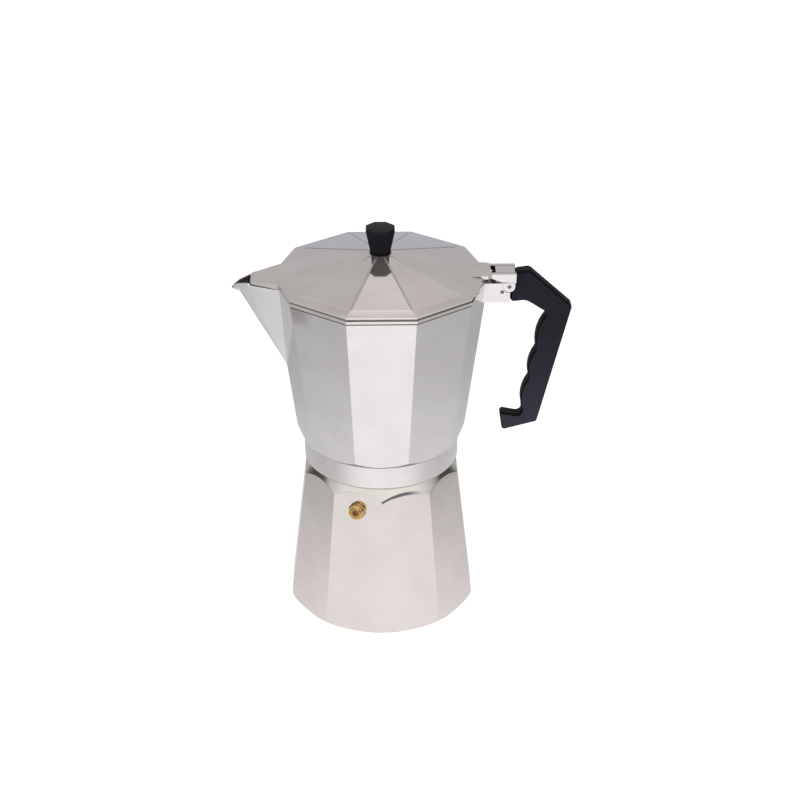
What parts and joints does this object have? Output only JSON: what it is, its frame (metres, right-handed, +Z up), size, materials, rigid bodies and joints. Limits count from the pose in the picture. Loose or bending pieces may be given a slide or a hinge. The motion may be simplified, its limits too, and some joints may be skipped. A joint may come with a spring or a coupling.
{
  "type": "moka pot",
  "caption": "Faceted aluminium stovetop moka pot with a hinged lid, black faceted knob and black finger-notched side handle, standing with its spout on the left",
  "frame": {"origin": "middle of the boiler's flat foot, on the surface that the pot stands on", "axes": "+Z up along the pot's axis, +X towards the handle, the spout points to -X"},
  "size_m": [0.2283, 0.1392, 0.2824],
  "materials": {
    "cast_aluminium": "polished die casting with a faint brushed grain",
    "pressed_aluminium": "pressed sheet, satin",
    "valve_brass": "machined brass, gold in tone",
    "pin_steel": "turned steel",
    "black_plastic": "moulded black plastic, satin",
    "gasket_rubber": "white rubber seal"
  },
  "bodies": {
    "boiler": {"boiler": "cast_aluminium", "valve_body": "valve_brass", "valve_washer": "valve_brass", "valve_seat": "valve_brass", "valve_spring": "pin_steel"},
    "plunger": {"valve_plunger": "pin_steel"},
    "funnel": {"funnel_basket": "pressed_aluminium", "funnel_stem": "pressed_aluminium", "funnel_plate": "pressed_aluminium"},
    "seal": {"gasket": "gasket_rubber", "filter_plate": "pressed_aluminium"},
    "collector": {"collector": "cast_aluminium", "handle": "black_plastic", "handle_pin": "pin_steel", "hinge_pin": "pin_steel"},
    "lid": {"lid": "cast_aluminium", "knob": "black_plastic", "knob_insert": "valve_brass", "knob_shield": "black_plastic", "knob_screw": "pin_steel", "screw_washer": "pin_steel"}
  },
  "joints": [
    {"name": "valve_lift", "type": "slide", "parent": "boiler", "child": "plunger", "axis": [-0.3069, -0.9445, 0.1171], "range_m": [0, 0.0015], "stiffness_N_per_m": 400, "springref_m": -0.0005, "deforming": ["valve_spring"]},
    {"name": "funnel_lift", "type": "slide", "parent": "boiler", "child": "funnel", "axis": [0, 0, 1], "range_m": [0, 0.115]},
    {"name": "thread_rise", "type": "slide", "parent": "funnel", "child": "seal", "axis": [0, 0, 1], "range_m": [0, 0.009]},
    {"name": "collector_turn", "type": "hinge", "parent": "seal", "child": "collector", "pos_m": [0, 0, 0.1278], "axis": [0, 0, 1], "range_deg": [0, 1080]},
    {"name": "lid_hinge", "type": "hinge", "parent": "collector", "child": "lid", "pos_m": [0.0858, 0, 0.2414], "axis": [0, 1, 0], "range_deg": [0, 95]}
  ],
  "couplings": [
    {"joint": "thread_rise", "follows": "collector_turn", "m_per_rad": 0.00047746}
  ]
}
